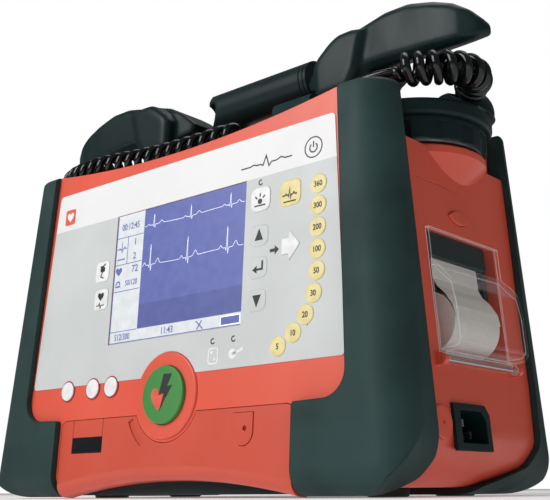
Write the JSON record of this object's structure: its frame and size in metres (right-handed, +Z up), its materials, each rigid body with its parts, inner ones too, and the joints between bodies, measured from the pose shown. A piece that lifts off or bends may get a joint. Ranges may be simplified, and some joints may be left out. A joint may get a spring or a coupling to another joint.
{
  "type": "defibrillator",
  "caption": "Portable hospital defibrillator and monitor with screen, key panel, side printer, carrying handle and two hand paddles on curly cords.",
  "frame": {"origin": "on the ground, midway across the width, 77 mm behind the foot of the front panel", "axes": "+Z up, -Y is the front with the screen, +X is the side with the printer"},
  "size_m": [0.379, 0.17, 0.301],
  "materials": {
    "case_red": "fine satin moulded plastic",
    "bumper_rubber": "matte rubber",
    "black_plastic": "matte moulded plastic",
    "gloss_black": "glossy",
    "foil": "satin printed foil",
    "clear": "clear plastic",
    "screen": "liquid crystal display",
    "green_button": "satin",
    "board_green": "solder mask",
    "steel": "brushed",
    "paper": "thermal paper",
    "aluminium": "plain",
    "copper": "enamelled winding",
    "roller_rubber": "smooth rubber",
    "cord_black": "glossy cord sheath",
    "orange_button": "satin"
  },
  "bodies": {
    "case": {"base_tray": "black_plastic", "bumper_front_left": "bumper_rubber", "bumper_front_right": "bumper_rubber", "bumper_rear_left": "bumper_rubber", "bumper_rear_right": "bumper_rubber", "capacitor_clamp": "aluminium", "case_screws": "steel", "chassis_shelf": "aluminium", "cord_port": "black_plastic", "display_board": "board_green", "door_hinge_pin": "steel", "front_housing": "case_red", "handle_legs": "black_plastic", "handle_tube": "black_plastic", "hv_capacitor": "aluminium", "hv_inductor": "copper", "inlet_pins": "steel", "keypad_foil": "foil", "lcd_module": "screen", "lcd_window": "clear", "lead_sockets": "black_plastic", "main_board": "board_green", "mains_inlet": "black_plastic", "paper_strip": "paper", "power_supply": "aluminium", "print_mechanism": "black_plastic", "printer_bay": "case_red", "rear_housing": "case_red", "rubber_feet": "bumper_rubber", "shock_button_dome": "roller_rubber", "side_cap": "case_red", "speaker": "black_plastic", "test_contacts": "steel"},
    "power_module": {"module_fascia": "case_red", "battery_pack": "black_plastic", "status_window": "gloss_black"},
    "release_tab": {"release_tab": "case_red"},
    "shock_button": {"shock_button": "green_button"},
    "printer_door": {"printer_door": "clear"},
    "door_catch": {"door_catch": "case_red"},
    "paper_roll": {"paper_roll": "paper"},
    "platen_roller": {"platen_roller": "roller_rubber"},
    "paddle_left": {"paddle_left_base": "black_plastic", "paddle_left_child_plate": "steel", "paddle_left_grip": "black_plastic", "paddle_left_button_dome": "roller_rubber", "paddle_left_gland": "black_plastic", "paddle_left_cord": "cord_black"},
    "electrode_left": {"paddle_left_adult_ring": "black_plastic", "paddle_left_adult_plate": "steel"},
    "discharge_button_left": {"paddle_left_button": "orange_button"},
    "paddle_right": {"paddle_right_base": "black_plastic", "paddle_right_child_plate": "steel", "paddle_right_grip": "black_plastic", "paddle_right_button_dome": "roller_rubber", "paddle_right_gland": "black_plastic", "paddle_right_cord": "cord_black"},
    "electrode_right": {"paddle_right_adult_ring": "black_plastic", "paddle_right_adult_plate": "steel"},
    "discharge_button_right": {"paddle_right_button": "orange_button"}
  },
  "joints": [
    {"name": "module_slide", "type": "slide", "parent": "case", "child": "power_module", "axis": [0, -1, 0], "range_m": [0, 0.12]},
    {"name": "release_press", "type": "slide", "parent": "power_module", "child": "release_tab", "axis": [0, 0.998, -0.0639], "range_m": [0, 0.0025], "stiffness_N_per_m": 900},
    {"name": "shock_press", "type": "slide", "parent": "case", "child": "shock_button", "axis": [0, 0.998, -0.0639], "range_m": [0, 0.0025], "stiffness_N_per_m": 900, "deforming": ["shock_button_dome"]},
    {"name": "door_hinge", "type": "hinge", "parent": "case", "child": "printer_door", "pos_m": [0.16867, 0, 0.07103], "axis": [0, 1, 0], "range_deg": [0, 95]},
    {"name": "catch_press", "type": "slide", "parent": "case", "child": "door_catch", "axis": [-0.997, 0, -0.0778], "range_m": [0, 0.0015], "stiffness_N_per_m": 900},
    {"name": "paper_spin", "type": "hinge", "parent": "case", "child": "paper_roll", "pos_m": [0.15165, 0.006, 0.09378], "axis": [0, 1, 0], "continuous": true},
    {"name": "platen_spin", "type": "hinge", "parent": "case", "child": "platen_roller", "pos_m": [0.14955, 0, 0.1207], "axis": [0, 1, 0], "continuous": true},
    {"name": "paddle_left_lift", "type": "slide", "parent": "case", "child": "paddle_left", "axis": [0, 0, 1], "range_m": [0, 0.12]},
    {"name": "electrode_left_twist", "type": "hinge", "parent": "paddle_left", "child": "electrode_left", "pos_m": [-0.123, 0.016, 0.201], "axis": [0, 0, 1], "range_deg": [0, 20]},
    {"name": "discharge_left_press", "type": "slide", "parent": "paddle_left", "child": "discharge_button_left", "axis": [0, 0, -1], "range_m": [0, 0.0025], "stiffness_N_per_m": 600, "deforming": ["paddle_left_button_dome"]},
    {"name": "paddle_right_lift", "type": "slide", "parent": "case", "child": "paddle_right", "axis": [0, 0, 1], "range_m": [0, 0.12]},
    {"name": "electrode_right_twist", "type": "hinge", "parent": "paddle_right", "child": "electrode_right", "pos_m": [0.123, 0.016, 0.201], "axis": [0, 0, 1], "range_deg": [0, 20]},
    {"name": "discharge_right_press", "type": "slide", "parent": "paddle_right", "child": "discharge_button_right", "axis": [0, 0, -1], "range_m": [0, 0.0025], "stiffness_N_per_m": 600, "deforming": ["paddle_right_button_dome"]}
  ],
  "couplings": [
    {"joint": "platen_spin", "follows": "paper_spin", "ratio": 2.9167}
  ]
}
